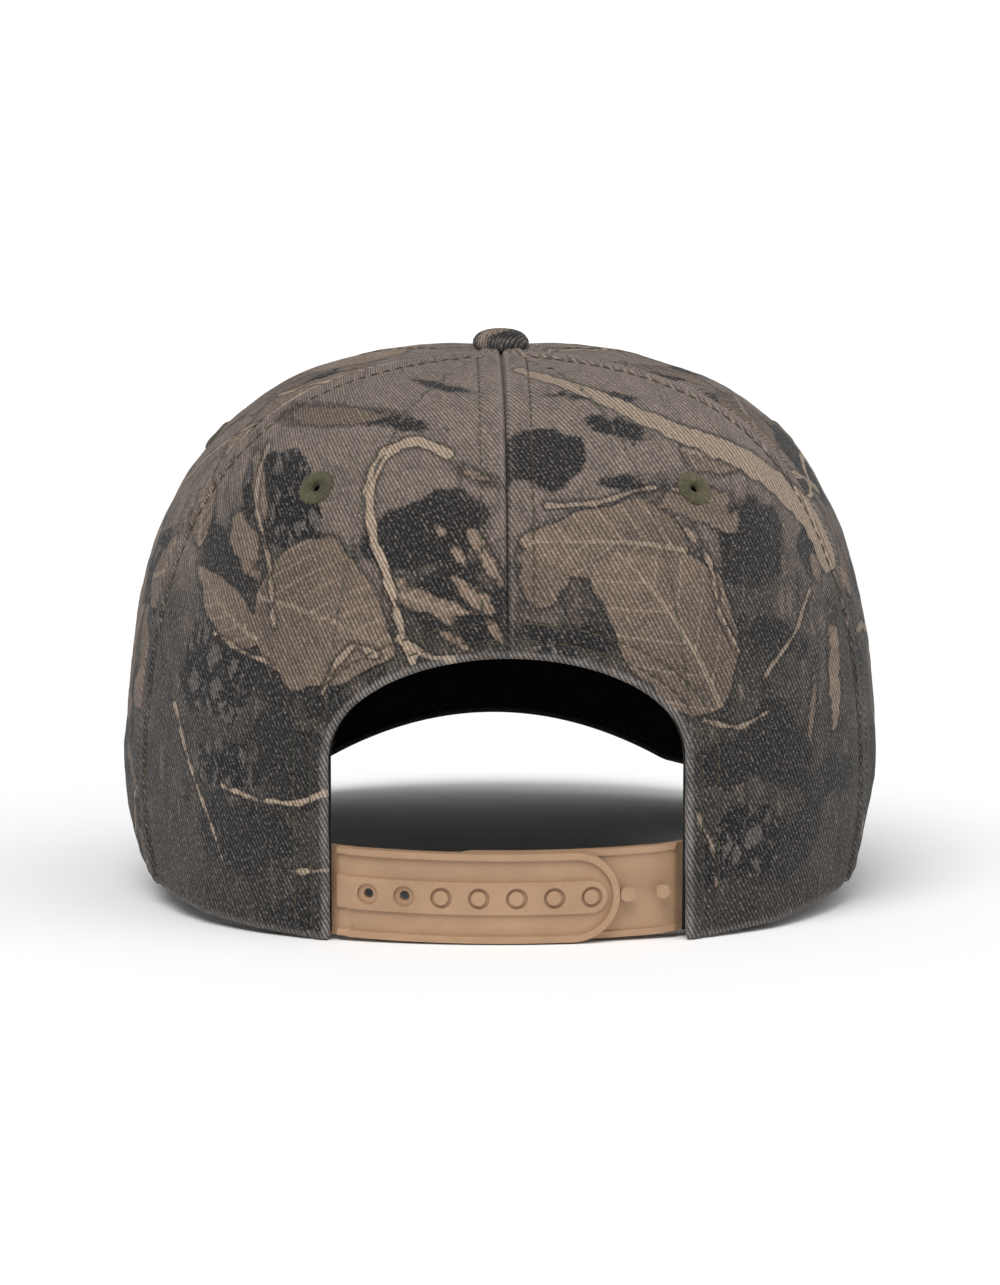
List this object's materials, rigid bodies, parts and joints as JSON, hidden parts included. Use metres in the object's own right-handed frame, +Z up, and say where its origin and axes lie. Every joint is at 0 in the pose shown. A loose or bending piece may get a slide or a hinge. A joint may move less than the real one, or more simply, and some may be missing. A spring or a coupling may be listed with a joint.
{
  "type": "snapback cap",
  "caption": "Structured six-panel camouflage cap with a pre-curved visor, fabric-covered button, rear arch and a moulded snap strap that opens.",
  "frame": {"origin": "centre of the overall footprint at floor level", "axes": "+Z up, visor towards -Y, rear opening towards +Y, +X to the wearer's left"},
  "size_m": [0.1802, 0.2678, 0.135],
  "materials": {
    "camo_twill": "brushed cotton twill, printed camouflage",
    "buckram": "stiffened open weave",
    "seam_tape": "plain woven tape",
    "sweatband": "brushed twill over a thin foam",
    "visor_lining": "cotton twill",
    "visor_board": "flat polyethylene board",
    "button_metal": "pressed sheet",
    "eyelet_thread": "satin-stitched thread",
    "strap_plastic": "fine-grained moulding"
  },
  "bodies": {
    "cap": {"arch_binding": "seam_tape", "buckram_left": "buckram", "buckram_right": "buckram", "button_cover": "camo_twill", "button_rivet": "button_metal", "button_shell": "button_metal", "eyelet_front_left": "eyelet_thread", "eyelet_front_right": "eyelet_thread", "eyelet_rear_left": "eyelet_thread", "eyelet_rear_right": "eyelet_thread", "eyelet_side_left": "eyelet_thread", "eyelet_side_right": "eyelet_thread", "front_panel_left": "camo_twill", "front_panel_right": "camo_twill", "inner_strap_tab": "strap_plastic", "outer_strap_tab": "strap_plastic", "rear_panel_left": "camo_twill", "rear_panel_right": "camo_twill", "seam_tape_front": "seam_tape", "seam_tape_front_left": "seam_tape", "seam_tape_front_right": "seam_tape", "seam_tape_rear": "seam_tape", "seam_tape_side_left": "seam_tape", "seam_tape_side_right": "seam_tape", "side_panel_left": "camo_twill", "side_panel_right": "camo_twill", "sweatband": "sweatband", "visor_board": "visor_board", "visor_lower_cover": "visor_lining", "visor_upper_cover": "camo_twill"},
    "hole_strap": {"outer_strap": "strap_plastic"},
    "peg_strap": {"inner_strap": "strap_plastic"}
  },
  "joints": [
    {"name": "hole_strap_swing", "type": "hinge", "parent": "cap", "child": "hole_strap", "pos_m": [0.0376, 0.1202, 0.00023], "axis": [0, -0.0979, -0.9952], "range_deg": [0, 80], "stiffness_Nm_per_rad": 0.002},
    {"name": "peg_strap_swing", "type": "hinge", "parent": "cap", "child": "peg_strap", "pos_m": [-0.0376, 0.11804, 0.00044], "axis": [0, -0.0979, -0.9952], "range_deg": [0, 60], "stiffness_Nm_per_rad": 0.002}
  ]
}
